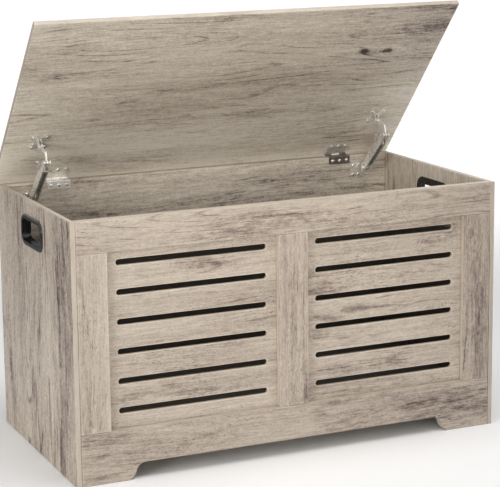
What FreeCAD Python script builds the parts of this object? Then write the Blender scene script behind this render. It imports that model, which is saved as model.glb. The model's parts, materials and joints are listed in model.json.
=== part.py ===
import FreeCAD, Part
import math
import os
from FreeCAD import Vector

# Storage chest for toys: a flat-pack box of laminated boards with a panelled, slotted front and a
# lid on two wrap-over hinges and two spring stays. Millimetres. +X is to the right of the front,
# +Y is to the back, +Z is up. The origin is on the floor, at the centre of the footprint that the
# chest has with its lid standing open, as it is modelled.

# ---- driving dimensions ----
BODY_WIDTH = 790.0
BODY_DEPTH = 395.0
BODY_HEIGHT = 443.0
BOARD = 15.0
THIN_BOARD = 9.0
BOARD_EASE = 0.8
LID_SIDE_OVERHANG = 5.0
LID_FRONT_OVERHANG = 5.0
LID_GAP = 2.0
LID_OPEN_DEG = 48.6
LID_BEHIND_PIVOT = 4.5

# front frame and slotted panels
TOP_RAIL_HEIGHT = 55.0
BOTTOM_RAIL_TOP = 88.0
SIDE_STILE_WIDTH = 53.0
CENTRE_STILE_WIDTH = 56.0
PANEL_RECESS = 9.0
PANEL_LIP = 6.0
PANEL_CLEARANCE = 0.3
SLOT_COUNT = 6
SLOT_PITCH = 50.0
SLOT_HEIGHT = 10.5
SLOT_SIDE_MARGIN = 17.5
SLOT_TOP_MARGIN = 20.0
SLOT_EASE = 0.7

# feet cut into the bottom rail
FOOT_WIDTH = 90.0
APRON_HEIGHT = 28.0
OGEE_WIDTH = 34.0

# floor of the chest
BOTTOM_PANEL_Z = 50.0

# hand-hole inserts in the side panels
HANDLE_LENGTH = 112.0
HANDLE_HEIGHT = 54.0
HANDLE_CORNER = 20.0
HANDLE_DROP = 53.0
HANDLE_RIM = 5.0
HANDLE_WALL = 2.5
HANDLE_FLANGE = 3.0
HANDLE_RING = 2.5
HANDLE_RING_RIM = 13.0
HANDLE_SPIGOT = 4.0
HANDLE_SPIGOT_WALL = 1.5
HANDLE_FIT = 0.2
HINGE_NOTCH_FIT = 0.2

# hinges
HINGE_X = 285.0
HINGE_WIDTH = 44.0
HINGE_BACK = 3.5
HINGE_RISE = 0.25
LEAF = 1.5
KNUCKLE_RADIUS = 3.0
KNUCKLE_HALF = 7.7
KNUCKLE_GAP = 0.4
HINGE_PIN_RADIUS = 1.45
HINGE_BORE_BODY = 1.5
HINGE_BORE_LID = 1.55
BODY_LEAF_DROP = 15.0
LID_SCREW_REACH = 20.3
LEAF_LOBE = 4.6
KNUCKLE_RELIEF = 3.5
LEAF_CORNER = 3.0
LEAF_SCREW_SPACING = 15.0

# lid stays
STAY_X = 336.0
STAY_REACH = 106.0
STAY_DROP = 10.0
STAY_BASE_FORWARD = 12.0
STAY_BASE_DOWN = 24.0
CHANNEL_HALF_WIDTH = 6.0
CHANNEL_HALF_DEPTH = 8.0
ARM_TOP_START = 9.5
ARM_STOP = (10.5, 12.0)
ARM_TAB = ((76.0, 0.0), (90.0, 0.0), (103.0, 6.0), (100.0, 10.0), (84.0, 5.0))
ROD_RADIUS = 1.5
ROD_HOLE_RADIUS = 1.6
ROD_START = 9.6
ROD_PAST_END = 5.0
NUT_RADIUS = 3.2
NUT_HEIGHT = 2.6
PLUG_LENGTH = 4.0
PLUG_EASE = 0.6
SPRING_START = 12.8
SPRING_SHORT = 4.8
CHANNEL_STEEL = 1.5
CHANNEL_END = 88.0
MID_EYE_RADIUS = 6.0
LINK_STEEL = 2.5
LINK_WIDTH = 7.0
LINK_EYE_RADIUS = 5.0
LINK_ELBOW = Vector(0, 4.0, 17.0)
PIVOT_RADIUS = 2.0
BASE_PIN_RADIUS = 2.45
RUNNING_FIT = 0.1
OPEN_PIVOT_FIT = 0.3
SPRING_RADIUS = 3.3
SPRING_WIRE = 0.55
SPRING_PITCH = 3.0

# fasteners
STAY_LOBE = 5.8
STAY_LOBE_NECK = 4.8
SCREW_HEAD_RADIUS = 3.1
SCREW_HEAD_HEIGHT = 1.9
SCREW_SHANK_RADIUS = 1.5
SCREW_LENGTH = 9.0
SCREW_TIP = 2.5
DOWEL_RADIUS = 4.0
DOWEL_LENGTH = 30.0
DOWEL_IN_FACE = 10.0
DOWEL_IN_SIDE = 6.0
CAM_RADIUS = 7.4
CAM_HEIGHT = 12.3
CAM_INSET = 24.0
CAM_BOLT_THREAD = 7.0
CAM_BOLT_RADIUS = 3.4
CAM_BOLT_COLLAR = 3.9
HOLE_FIT = 0.05

# where the dowels and cams are: heights, setbacks from the front face, and distances from the middle
BACK_DOWEL_HEIGHTS = (70.0, 205.0, 370.0)
BOTTOM_DOWEL_SETBACKS = (50.0, BODY_DEPTH / 2, 345.0)
FRONT_DOWEL_HEIGHTS = (BODY_HEIGHT - 12.0, 60.0)
BOTTOM_EDGE_DOWELS = (-250.0, 0.0, 250.0)
STILE_DOWEL_OFFSETS = (-10.0, 10.0)
BACK_CAM_HEIGHTS = (135.0, 300.0)
BOTTOM_CAM_SETBACKS = (85.0, 310.0)
FRONT_CAM_HEIGHTS = (BODY_HEIGHT - 31.0, 25.0)

X, Y, Z = Vector(1, 0, 0), Vector(0, 1, 0), Vector(0, 0, 1)

# ---- derived places ----
open_angle = math.radians(LID_OPEN_DEG)
# how far the open lid's upper rear edge stands behind the body
lid_rear_reach = (
    HINGE_BACK
    + LID_BEHIND_PIVOT * math.cos(open_angle)
    + (LID_GAP - HINGE_RISE + THIN_BOARD) * math.sin(open_angle)
)
front = -(BODY_DEPTH + lid_rear_reach) / 2
rear = front + BODY_DEPTH
outer = BODY_WIDTH / 2
inner = outer - THIN_BOARD
back_face = rear - BOARD
opening_top = BODY_HEIGHT - TOP_RAIL_HEIGHT
opening_low = BOTTOM_RAIL_TOP
opening_in = CENTRE_STILE_WIDTH / 2
opening_out = inner - SIDE_STILE_WIDTH
hinge_line = Vector(0, rear + HINGE_BACK, BODY_HEIGHT + HINGE_RISE)
lid_under = BODY_HEIGHT + LID_GAP
stay_base = Vector(0, back_face - STAY_BASE_FORWARD, BODY_HEIGHT - STAY_BASE_DOWN)
stay_lid_pivot = hinge_line + Vector(0, -STAY_REACH, -STAY_DROP)
stay_offset = stay_lid_pivot - hinge_line
arm_length = stay_offset.Length
arm_tilt_deg = math.degrees(math.atan2(STAY_DROP, STAY_REACH))
handle_y = front + BODY_DEPTH / 2
handle_z = BODY_HEIGHT - HANDLE_DROP

parts = {}


# ---- helpers ----
def box(x0, x1, y0, y1, z0, z1):
    """A block between two x, two y and two z planes, given in either order."""
    low = Vector(min(x0, x1), min(y0, y1), min(z0, z1))
    return Part.makeBox(abs(x1 - x0), abs(y1 - y0), abs(z1 - z0), low)


def rod(radius, start, end):
    return Part.makeCylinder(radius, (end - start).Length, start, end - start)


def fused(shapes):
    return shapes[0].multiFuse(shapes[1:]).removeSplitter()


def edges_along(shape, axis):
    """The straight edges of a shape that run along an axis."""
    found = []
    for edge in shape.Edges:
        run = edge.Vertexes[-1].Point - edge.Vertexes[0].Point
        if run.Length > 0 and abs(abs(run.normalize() * axis) - 1) < 1e-6:
            found.append(edge)
    return found


def eased(shape):
    """A board with its sharp edges taken off."""
    return shape.makeFillet(BOARD_EASE, shape.Edges)


def rounded_bar(axis, radius, *planes):
    """A block whose four edges along one axis are rounded."""
    bar = box(*planes)
    return bar.makeFillet(radius, edges_along(bar, axis))


def plate(outline, x0, x1):
    """A flat plate from x0 to x1, cut to an outline of (y, z) points."""
    points = [Vector(x0, y, z) for y, z in outline]
    face = Part.Face(Part.makePolygon(points + points[:1]))
    return face.extrude(X * (x1 - x0))


def strap(start, end, width, x0, x1):
    """A flat bar between two (y, z) points."""
    run = (end - start).normalize()
    side = Vector(0, -run.z, run.y) * (width / 2)
    corners = [start + side, end + side, end - side, start - side]
    return plate([(c.y, c.z) for c in corners], x0, x1)


def turned(profile, centre, axis):
    """A solid of revolution: profile is a list of (along, radius) points, along the axis."""
    points = [Vector(r, 0, along) for along, r in profile]
    face = Part.Face(Part.makePolygon(points + points[:1]))
    solid = face.revolve(Vector(0, 0, 0), Z, 360)
    solid.Placement = FreeCAD.Placement(centre, FreeCAD.Rotation(Z, axis))
    return solid


def pivot_pin(centre, radius, steps):
    """A pin along X: steps are (x, radius) from one end to the other, and their ends are closed."""
    profile = [(steps[0][0], 0)] + steps + [(steps[-1][0], 0)]
    return turned(profile, centre, X)


def moved(shape, shift):
    copy = shape.copy()
    copy.translate(shift)
    return copy


def swung(shape, pivot, degrees):
    """A shape turned about a pivot along X, the way the lid opens."""
    copy = shape.copy()
    copy.rotate(pivot, -X, degrees)
    return copy


def cut_all(shape, tools):
    """A shape less each tool that reaches it."""
    for tool in tools:
        if shape.BoundBox.intersect(tool.BoundBox):
            shape = shape.cut(tool)
    return shape


# ---- screws ----
def screw(seat, out):
    """A pan-head screw with a cross recess. seat is under its head, and out points to the head."""
    low, shank, head, tall = -SCREW_LENGTH, SCREW_SHANK_RADIUS, SCREW_HEAD_RADIUS, SCREW_HEAD_HEIGHT
    dome = [Vector(head, 0, 0), Vector(head, 0, tall * 0.45), Vector(head * 0.62, 0, tall * 0.9)]
    outline = [
        Part.LineSegment(Vector(0, 0, low), Vector(shank, 0, low + SCREW_TIP)).toShape(),
        Part.LineSegment(Vector(shank, 0, low + SCREW_TIP), Vector(shank, 0, 0)).toShape(),
        Part.LineSegment(Vector(shank, 0, 0), dome[0]).toShape(),
        Part.LineSegment(dome[0], dome[1]).toShape(),
        Part.Arc(dome[1], dome[2], Vector(0, 0, tall)).toShape(),
        Part.LineSegment(Vector(0, 0, tall), Vector(0, 0, low)).toShape(),
    ]
    solid = Part.Face(Part.Wire(outline)).revolve(Vector(0, 0, 0), Z, 360)
    reach, slit = head * 0.55, head * 0.12
    solid = solid.cut(box(-reach, reach, -slit, slit, tall * 0.4, tall * 2))
    solid = solid.cut(box(-slit, slit, -reach, reach, tall * 0.4, tall * 2))
    solid.Placement = FreeCAD.Placement(seat, FreeCAD.Rotation(Z, out))
    return solid


def screw_hole(seat, out):
    """The pilot hole for a screw, which also clears the plate that it holds."""
    return rod(SCREW_SHANK_RADIUS + HOLE_FIT, seat + out, seat - out * (SCREW_LENGTH + 0.5))


# ---- hidden joinery: dowels, and cams with their bolts ----
def dowel_places():
    """Each dowel's joint point, its direction into the board's edge, and its depth before that."""
    places = []
    for side in (-1, 1):
        wall = Vector(side * inner, 0, 0)
        inward = X * -side
        for z in BACK_DOWEL_HEIGHTS:
            places.append((wall + Vector(0, rear - BOARD / 2, z), inward, DOWEL_IN_SIDE))
        for y in BOTTOM_DOWEL_SETBACKS:
            centre = Vector(0, front + y, BOTTOM_PANEL_Z + BOARD / 2)
            places.append((wall + centre, inward, DOWEL_IN_SIDE))
        for z in FRONT_DOWEL_HEIGHTS:
            places.append((wall + Vector(0, front + BOARD / 2, z), inward, DOWEL_IN_SIDE))
    for x in BOTTOM_EDGE_DOWELS:
        centre = Vector(x, 0, BOTTOM_PANEL_Z + BOARD / 2)
        places.append((centre + Y * (front + BOARD), Y, DOWEL_IN_FACE))
        places.append((centre + Y * back_face, -Y, DOWEL_IN_FACE))
    for x in stile_centres():
        for offset in STILE_DOWEL_OFFSETS:
            spot = Vector(x + offset, front + BOARD / 2, 0)
            places.append((spot + Z * opening_top, -Z, DOWEL_LENGTH / 2))
            places.append((spot + Z * opening_low, Z, DOWEL_LENGTH / 2))
    return places


def stile_centres():
    side_centre = (opening_out + PANEL_LIP + inner) / 2
    return (-side_centre, 0.0, side_centre)


def cam_places():
    """Each cam's joint point, the direction into the board's edge, and the way that the cam faces."""
    places = []
    for side in (-1, 1):
        wall = Vector(side * inner, 0, 0)
        inward = X * -side
        for z in BACK_CAM_HEIGHTS:
            places.append((wall + Vector(0, rear - BOARD / 2, z), inward, -Y))
        for y in BOTTOM_CAM_SETBACKS:
            centre = Vector(0, front + y, BOTTOM_PANEL_Z + BOARD / 2)
            places.append((wall + centre, inward, -Z))
        for z in FRONT_CAM_HEIGHTS:
            places.append((wall + Vector(0, front + BOARD / 2, z), inward, Y))
    return places


def dowel(joint, into, before, fit=0.0):
    start = joint - into * (before + fit)
    return rod(DOWEL_RADIUS + fit, start, joint + into * (DOWEL_LENGTH - before + fit))


def cam_centre(joint, into, facing):
    """The middle of the cam's bore, on the face of the board that it is let into."""
    return joint + into * CAM_INSET + facing * (BOARD / 2)


def cam_bore(joint, into, facing):
    mouth = cam_centre(joint, into, facing)
    return rod(CAM_RADIUS + HOLE_FIT, mouth + facing, mouth - facing * (CAM_HEIGHT + 0.2))


def cam_lock(joint, into, facing):
    mouth = cam_centre(joint, into, facing) - facing * 0.2
    body = rod(CAM_RADIUS, mouth, mouth - facing * CAM_HEIGHT)
    bolt_height = mouth - facing * (BOARD / 2 - 0.2)
    pocket = rod(CAM_RADIUS / 2, bolt_height - into * CAM_RADIUS * 1.2, bolt_height + into * 3)
    across = facing.cross(into)
    body = body.cut(pocket)
    for along, other in ((into, across), (across, into)):
        reach = along * 4.0 + other * 0.7 + facing * 1.6
        body = body.cut(box(*spans(mouth, reach)))
    return body


def spans(centre, reach):
    """Plane pairs of a block about a centre, for box()."""
    low, high = centre - reach, centre + reach
    return low.x, high.x, low.y, high.y, low.z, high.z


def cam_bolt(joint, into, facing):
    profile = [
        (-CAM_BOLT_THREAD, 0),
        (-CAM_BOLT_THREAD, 2.6),
        (-CAM_BOLT_THREAD + 1.0, CAM_BOLT_RADIUS),
        (0, CAM_BOLT_RADIUS),
        (0, CAM_BOLT_COLLAR),
        (2.0, CAM_BOLT_COLLAR),
        (2.0, 2.4),
        (CAM_INSET - 5.0, 2.4),
        (CAM_INSET - 3.5, 1.8),
        (CAM_INSET - 2.0, 1.8),
        (CAM_INSET - 1.0, 3.2),
        (CAM_INSET + 1.5, 3.2),
        (CAM_INSET + 2.5, 0),
    ]
    return turned(profile, joint, into)


def cam_bolt_hole(joint, into, facing):
    face_hole = rod(CAM_BOLT_RADIUS + HOLE_FIT, joint - into * (CAM_BOLT_THREAD + 0.5), joint + into)
    edge_hole = rod(CAM_BOLT_COLLAR + HOLE_FIT, joint, joint + into * CAM_INSET)
    return face_hole.fuse(edge_hole)


joinery_holes = [dowel(*place, HOLE_FIT) for place in dowel_places()]
joinery_holes += [cam_bore(*place) for place in cam_places()]
joinery_holes += [cam_bolt_hole(*place) for place in cam_places()]


# ---- places of the hardware ----
def hinge_body_screws():
    spots = []
    for side in (-1, 1):
        for offset in (-LEAF_SCREW_SPACING, 0.0, LEAF_SCREW_SPACING):
            z = BODY_HEIGHT - 8.5
            spots.append(Vector(side * HINGE_X + offset, back_face - LEAF, z))
    return spots


def hinge_lid_screws():
    spots = []
    for side in (-1, 1):
        for offset in (-LEAF_SCREW_SPACING, 0.0, LEAF_SCREW_SPACING):
            x = side * HINGE_X + offset
            spots.append(Vector(x, rear - LID_SCREW_REACH, lid_under - LEAF))
    return spots


def stay_base_screws():
    spots = []
    for side in (-1, 1):
        for offset in (-22.0, -10.5):
            for z in (-14.0, 4.0):
                spots.append(stay_base + Vector(side * STAY_X + offset, STAY_BASE_FORWARD - 2.0, z))
    return spots


def stay_lid_screws():
    spots = []
    for side in (-1, 1):
        for across in (-12.0, 12.0):
            for along in (-13.0, 13.0):
                x = side * STAY_X + across
                spots.append(Vector(x, stay_lid_pivot.y + along, lid_under - LEAF))
    return spots


# ---- boards ----
def handle_blank(x0, x1, rim):
    """A rounded slab in a side panel's plane, rim smaller all round than the handle's outline."""
    half_long = HANDLE_LENGTH / 2 - rim
    half_tall = HANDLE_HEIGHT / 2 - rim
    corner = HANDLE_CORNER - rim
    low, high = handle_z - half_tall, handle_z + half_tall
    return rounded_bar(X, corner, x0, x1, handle_y - half_long, handle_y + half_long, low, high)


def side_panel(side):
    board = eased(box(side * inner, side * outer, front, rear, 0, BODY_HEIGHT))
    hole = handle_blank(side * (inner - 1), side * (outer + 1), HANDLE_RIM - HANDLE_FIT)
    return cut_all(board.cut(hole), joinery_holes)


def back_panel():
    board = eased(box(-inner, inner, back_face, rear, 0, BODY_HEIGHT))
    half = HINGE_WIDTH / 2 + HINGE_NOTCH_FIT
    for side in (-1, 1):
        x = side * HINGE_X
        notch = box(x - half, x + half, back_face - 1, rear + 1, BODY_HEIGHT - LEAF, BODY_HEIGHT + 1)
        board = board.cut(notch)
    holes = [screw_hole(spot, -Y) for spot in hinge_body_screws() + stay_base_screws()]
    return cut_all(board, joinery_holes + holes)


def bottom_panel():
    top = BOTTOM_PANEL_Z + BOARD
    board = box(-inner, inner, front + BOARD, back_face, BOTTOM_PANEL_Z, top)
    return cut_all(eased(board), joinery_holes)


def panel_rebates():
    """The steps cut behind the front frame, round both openings, for the slotted panels."""
    blocks = []
    for side in (-1, 1):
        x0, x1 = side * (opening_in - PANEL_LIP), side * (opening_out + PANEL_LIP)
        z0, z1 = opening_low - PANEL_LIP, opening_top + PANEL_LIP
        blocks.append(box(x0, x1, front + PANEL_RECESS, front + BOARD + 1, z0, z1))
    return blocks


def front_member(x0, x1, z0, z1):
    board = eased(box(x0, x1, front, front + BOARD, z0, z1))
    return cut_all(board, panel_rebates() + joinery_holes)


def ogee_gap():
    """The space under the apron, between the ogee shoulders of the two feet."""
    foot, shoulder = outer - FOOT_WIDTH, outer - FOOT_WIDTH - OGEE_WIDTH
    bend = Vector(foot - 14, 0, 13)
    edges = []
    for side in (-1, 1):
        toe, knee = Vector(side * foot, 0, 0), Vector(side * bend.x, 0, bend.z)
        top = Vector(side * shoulder, 0, APRON_HEIGHT)
        low_bulge = Vector(side * (foot - 8.8), 0, 4.6)
        high_hollow = Vector(side * (foot - 20.0), 0, 23.6)
        edges.append(Part.Arc(toe, low_bulge, knee).toShape())
        edges.append(Part.Arc(knee, high_hollow, top).toShape())
        edges.append(Part.LineSegment(toe, toe - Z).toShape())
    apron = Part.LineSegment(Vector(-shoulder, 0, APRON_HEIGHT), Vector(shoulder, 0, APRON_HEIGHT))
    floor = Part.LineSegment(Vector(-foot, 0, -1), Vector(foot, 0, -1))
    edges += [apron.toShape(), floor.toShape()]
    face = Part.Face(Part.Wire(Part.__sortEdges__(edges)))
    return moved(face.extrude(Y * (BOARD + 2)), Y * (front - 1))


def slot(x0, x1, z):
    low, high = z - SLOT_HEIGHT / 2, z + SLOT_HEIGHT / 2
    planes = (x0, x1, front, front + BOARD + 1, low, high)
    return rounded_bar(Y, SLOT_HEIGHT / 2 - 0.01, *planes)


def slat_panel(side):
    lip = PANEL_LIP - PANEL_CLEARANCE
    x0, x1 = side * (opening_in - lip), side * (opening_out + lip)
    y0, y1 = front + PANEL_RECESS + PANEL_CLEARANCE, front + BOARD
    board = box(x0, x1, y0, y1, opening_low - lip, opening_top + lip)
    for n in range(SLOT_COUNT):
        z = opening_top - SLOT_TOP_MARGIN - n * SLOT_PITCH
        left = side * (opening_in + SLOT_SIDE_MARGIN)
        board = board.cut(slot(left, side * (opening_out - SLOT_SIDE_MARGIN), z))
    rims = []
    for face in board.Faces:
        if abs(face.CenterOfMass.y - y0) < 1e-6:
            for wire in face.Wires:
                if wire.BoundBox.ZLength < SLOT_PITCH:
                    rims += wire.Edges
    return board.makeFillet(SLOT_EASE, rims)


def lid_panel():
    """The lid reaches behind its pivots, so it is notched from below over each hinge's knuckles."""
    half = outer + LID_SIDE_OVERHANG
    edge = hinge_line.y + LID_BEHIND_PIVOT
    top = lid_under + THIN_BOARD
    board = eased(box(-half, half, front - LID_FRONT_OVERHANG, edge, lid_under, top))
    reach = HINGE_WIDTH / 2 + 1
    start, roof = hinge_line.y - KNUCKLE_RELIEF, hinge_line.z + KNUCKLE_RELIEF
    for x in (-HINGE_X, HINGE_X):
        board = board.cut(box(x - reach, x + reach, start, edge + 1, lid_under - 1, roof))
    return cut_all(board, [screw_hole(spot, -Z) for spot in hinge_lid_screws() + stay_lid_screws()])


# ---- hand-hole inserts ----
def handle_grip(side):
    """Outer flange with a sleeve that lines the hand hole."""
    tip = side * (outer + HANDLE_FLANGE)
    flange = handle_blank(side * outer, tip, 0)
    rim = [e for e in flange.Edges if abs(e.BoundBox.XMin - tip) < 1e-6 and e.BoundBox.XLength < 1e-6]
    flange = flange.makeFillet(HANDLE_FLANGE * 0.7, rim)
    sleeve = handle_blank(side * inner, side * outer, HANDLE_RIM)
    window = handle_blank(side * (inner - 10), side * (outer + 10), HANDLE_RIM + HANDLE_WALL)
    return flange.fuse(sleeve).cut(window).removeSplitter()


def handle_ring(side):
    """Inner flange with a spigot that plugs into the sleeve and holds the insert in the panel."""
    face = side * (inner - HANDLE_RING)
    ring = handle_blank(side * inner, face, 0)
    rim = [e for e in ring.Edges if abs(e.BoundBox.XMin - face) < 1e-6 and e.BoundBox.XLength < 1e-6]
    ring = ring.makeFillet(HANDLE_RING * 0.6, rim)
    ring = ring.cut(handle_blank(side * (inner - 10), side * outer, HANDLE_RING_RIM))
    spigot_rim = HANDLE_RIM + HANDLE_WALL + HANDLE_FIT
    spigot = handle_blank(side * inner, side * (inner + HANDLE_SPIGOT), spigot_rim)
    hollow = handle_blank(side * inner, side * outer, spigot_rim + HANDLE_SPIGOT_WALL)
    return ring.fuse(spigot.cut(hollow)).removeSplitter()


# ---- hinges, drawn closed ----
def knuckle(x0, x1):
    return rod(KNUCKLE_RADIUS, hinge_line + X * x0, hinge_line + X * x1)


def hinge_body_leaf(side):
    """Let into the back panel's top edge, and bent down over its inner face."""
    x, half = side * HINGE_X, HINGE_WIDTH / 2
    clear = KNUCKLE_HALF + KNUCKLE_GAP
    face = back_face - LEAF
    bottom = BODY_HEIGHT - BODY_LEAF_DROP
    drop = rounded_bar(Y, LEAF_CORNER, x - half, x + half, face, back_face, bottom, BODY_HEIGHT + 9)
    drop = drop.cut(box(x - half, x + half, face, back_face, BODY_HEIGHT, BODY_HEIGHT + 9))
    strip = box(x - half, x + half, face, hinge_line.y, BODY_HEIGHT - LEAF, BODY_HEIGHT)
    notch_start = hinge_line.y - KNUCKLE_RADIUS - KNUCKLE_GAP
    notch = box(x - clear, x + clear, notch_start, hinge_line.y + 1, BODY_HEIGHT - 9, BODY_HEIGHT + 9)
    left = knuckle(x - half, x - clear)
    right = knuckle(x + clear, x + half)
    bore = rod(HINGE_BORE_BODY, hinge_line + X * (x - half - 1), hinge_line + X * (x + half + 1))
    leaf = fused([drop, strip.cut(notch), left, right]).cut(bore)
    bend = []
    for edge in edges_along(leaf, X):
        spot = edge.CenterOfMass
        if abs(spot.y - face) < 1e-3 and abs(spot.z - BODY_HEIGHT) < 1e-3:
            bend.append(edge)
    leaf = leaf.makeFillet(LEAF * 0.9, bend)
    return cut_all(leaf, [screw_hole(spot, -Y) for spot in hinge_body_screws()])


def hinge_lid_leaf(side):
    """Under the lid, turning on the middle knuckle, with a round lobe at each screw."""
    x, half = side * HINGE_X, HINGE_WIDTH / 2
    start = hinge_line.y - KNUCKLE_RADIUS - KNUCKLE_GAP
    end = rear - LID_SCREW_REACH
    low = lid_under - LEAF
    leaf = rounded_bar(Z, LEAF_CORNER, x - half, x + half, end, start + 9, low, lid_under)
    leaf = leaf.cut(box(x - half, x + half, start, start + 9, low, lid_under))
    tongue = box(x - KNUCKLE_HALF, x + KNUCKLE_HALF, start - 1, hinge_line.y, low, lid_under)
    middle = [x - KNUCKLE_HALF, x + KNUCKLE_HALF]
    bore = rod(HINGE_BORE_LID, hinge_line + X * (middle[0] - 1), hinge_line + X * (middle[1] + 1))
    lobes = []
    for offset in (-LEAF_SCREW_SPACING, 0.0, LEAF_SCREW_SPACING):
        spot = Vector(x + offset, end, low)
        lobes.append(rod(LEAF_LOBE, spot, spot + Z * LEAF))
    leaf = fused([leaf, tongue, knuckle(*middle)] + lobes).cut(bore)
    return cut_all(leaf, [screw_hole(spot, -Z) for spot in hinge_lid_screws()])


def hinge_pin(side):
    x, half, head = side * HINGE_X, HINGE_WIDTH / 2, 2.2
    r = HINGE_PIN_RADIUS
    steps = [
        (-half - 1.0, head * 0.6),
        (-half - 0.1, head),
        (-half - 0.1, r),
        (half + 0.1, r),
        (half + 0.1, head),
        (half + 1.0, head * 0.6),
    ]
    return pivot_pin(hinge_line + X * x, r, steps)


# ---- lid stays, drawn closed; the arm is drawn level and then tipped about the base pivot ----
def on_arm(x, along, height):
    """A point of the level arm: along it from the base pivot, and above it."""
    return stay_base + Vector(x, -along, height)


def arm_block(x, x0, x1, a0, a1, h0, h1):
    low, high = on_arm(x + x0, a0, h0), on_arm(x + x1, a1, h1)
    return box(low.x, high.x, low.y, high.y, low.z, high.z)


def stay_channel(x):
    """Folded steel channel, open below, with ears for the base pivot and the middle pivot."""
    wide, deep, steel = CHANNEL_HALF_WIDTH, CHANNEL_HALF_DEPTH, CHANNEL_STEEL
    solids = []
    for side in (-1, 1):
        x0, x1 = x + side * (wide - steel), x + side * wide
        outline = [(0, deep), (CHANNEL_END, deep), (arm_length, MID_EYE_RADIUS)]
        outline += [(a, -h) for a, h in reversed(outline)]
        points = [on_arm(0, a, h) for a, h in outline]
        solids.append(plate([(p.y, p.z) for p in points], x0, x1))
        solids.append(rod(deep, on_arm(x0, 0, 0), on_arm(x1, 0, 0)))
        solids.append(rod(MID_EYE_RADIUS, on_arm(x0, arm_length, 0), on_arm(x1, arm_length, 0)))
    solids.append(arm_block(x, -wide, wide, ARM_TOP_START, CHANNEL_END, deep - steel, deep))
    solids.append(arm_block(x, -wide, wide, *ARM_STOP, -deep * 0.6, deep))
    points = [on_arm(x - wide - out, along, deep - steel) for along, out in ARM_TAB]
    solids.append(Part.Face(Part.makePolygon(points + points[:1])).extrude(Z * steel))
    channel = fused(solids)
    bores = [rod(PIVOT_RADIUS + HOLE_FIT, on_arm(x - 9, arm_length, 0), on_arm(x + 9, arm_length, 0))]
    bores.append(rod(BASE_PIN_RADIUS + RUNNING_FIT, on_arm(x - 9, 0, 0), on_arm(x + 9, 0, 0)))
    bores.append(rod(ROD_HOLE_RADIUS, on_arm(x, 9.0, 0), on_arm(x, 13.0, 0)))
    return cut_all(channel, bores)


def stay_end_plug(x):
    """Slider block that closes the channel and guides the rod."""
    half = CHANNEL_HALF_WIDTH - CHANNEL_STEEL - HOLE_FIT
    tall = CHANNEL_HALF_DEPTH - CHANNEL_STEEL - HOLE_FIT
    block = arm_block(x, -half, half, CHANNEL_END - PLUG_LENGTH, CHANNEL_END, -tall, tall)
    block = block.makeChamfer(PLUG_EASE, edges_along(block, Y))
    start, end = on_arm(x, CHANNEL_END - PLUG_LENGTH - 1, 0), on_arm(x, CHANNEL_END + 1, 0)
    return block.cut(rod(ROD_HOLE_RADIUS, start, end))


def stay_rod(x):
    """Guide rod through the spring, with a nut at its outer end."""
    shaft = rod(ROD_RADIUS, on_arm(x, ROD_START, 0), on_arm(x, CHANNEL_END + ROD_PAST_END, 0))
    seat = CHANNEL_END + 0.3
    corners = []
    for n in range(6):
        turn = math.radians(60 * n)
        across, up = NUT_RADIUS * math.cos(turn), NUT_RADIUS * math.sin(turn)
        corners.append(on_arm(x + across, seat, up))
    nut = Part.Face(Part.makePolygon(corners + corners[:1])).extrude(Y * -NUT_HEIGHT)
    return fused([shaft, nut])


def stay_spring(x):
    """Compression coil round the guide rod."""
    start, end = SPRING_START, CHANNEL_END - SPRING_SHORT
    helix = Part.makeHelix(SPRING_PITCH, end - start, SPRING_RADIUS)
    ring = Part.Wire(Part.makeCircle(SPRING_WIRE, Vector(SPRING_RADIUS, 0, 0), Y))
    coil = Part.Wire(helix.Edges).makePipeShell([ring], True, True)
    coil.Placement = FreeCAD.Placement(on_arm(x, start, 0), FreeCAD.Rotation(Z, -Y))
    return coil


def stay_base_bracket(x):
    """Plate on the back panel, with an ear bent forward to hold the pivot."""
    steel = 2.0
    face = back_face - steel
    low, high = stay_base.z - 19.0, stay_base.z + 9.0
    base = rounded_bar(Y, 3.0, x - 27.0, x + 1.0, face, back_face, low, high)
    ear = plate(
        [(back_face, stay_base.z + 7), (stay_base.y, stay_base.z + 6)]
        + [(stay_base.y, stay_base.z - 6), (back_face, stay_base.z - 9)],
        x - 1,
        x + 1,
    )
    nose = rod(6.0, stay_base + X * (x - 1), stay_base + X * (x + 1))
    bracket = fused([base, ear, nose])
    bore = rod(BASE_PIN_RADIUS + HOLE_FIT, stay_base + X * (x - 3), stay_base + X * (x + 3))
    holes = [screw_hole(spot, -Y) for spot in stay_base_screws()]
    return cut_all(bracket, [bore] + holes)


def stay_base_pin(x):
    """Rivet through both flanges of the arm, with a broad domed head on its left."""
    r, wide = BASE_PIN_RADIUS, CHANNEL_HALF_WIDTH
    steps = [
        (-wide - 3.3, 2.0),
        (-wide - 2.9, 4.4),
        (-wide - 1.9, 6.0),
        (-wide - 0.9, 6.5),
        (-wide - 0.3, 6.5),
        (-wide - 0.3, r),
        (-4.2, r),
        (-4.2, 4.0),
        (-1.3, 4.0),
        (-1.3, r),
        (1.3, r),
        (1.3, 4.0),
        (4.2, 4.0),
        (4.2, r),
        (wide + 0.3, r),
        (wide + 0.3, 4.2),
        (wide + 1.0, 4.2),
        (wide + 1.8, 2.6),
    ]
    return pivot_pin(stay_base + X * x, r, steps)


def shouldered_pin(centre, wide, shoulder_from, shoulder_to):
    """Rivet with collars that keep the link in the middle."""
    r = PIVOT_RADIUS
    head = [(wide + 1.5, 1.8), (wide + 0.9, 3.3), (wide + 0.3, 3.5), (wide + 0.3, r)]
    collar = [(shoulder_to, r), (shoulder_to, 3.3), (shoulder_from, 3.3), (shoulder_from, r)]
    half = head + (collar if shoulder_to > shoulder_from else [])
    steps = [(-along, radius) for along, radius in half]
    steps += list(reversed(half))
    return pivot_pin(centre, r, steps)


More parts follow.
